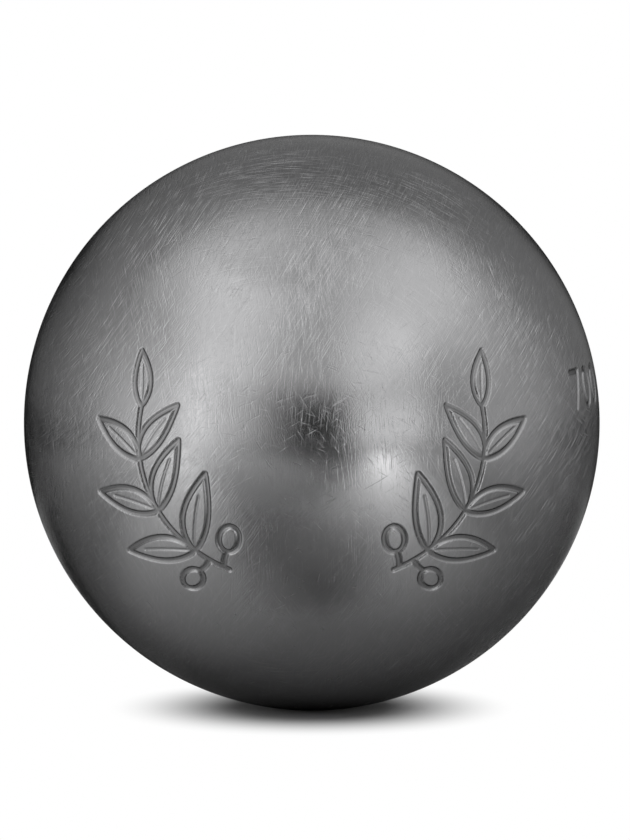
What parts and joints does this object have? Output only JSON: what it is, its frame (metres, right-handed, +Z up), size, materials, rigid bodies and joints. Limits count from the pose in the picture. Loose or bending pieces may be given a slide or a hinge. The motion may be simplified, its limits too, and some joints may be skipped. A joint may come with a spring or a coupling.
{
  "type": "petanque boule",
  "caption": "Hollow steel ball of two half shells welded at the rim, with a satin engraved outside, thrown by hand in the game of petanque.",
  "frame": {"origin": "centre of the ball", "axes": "+Z up as the ball lies on the ground, +Y from the front half shell to the back one, which is the axis of both shells and of the weld between them, +X to the right seen from the front"},
  "size_m": [0.074, 0.074, 0.074],
  "materials": {
    "satin_steel": "satin",
    "weld_metal": "satin"
  },
  "bodies": {
    "root": {"front_half_shell": "satin_steel", "back_half_shell": "satin_steel", "weld_seam": "weld_metal"}
  },
  "joints": []
}
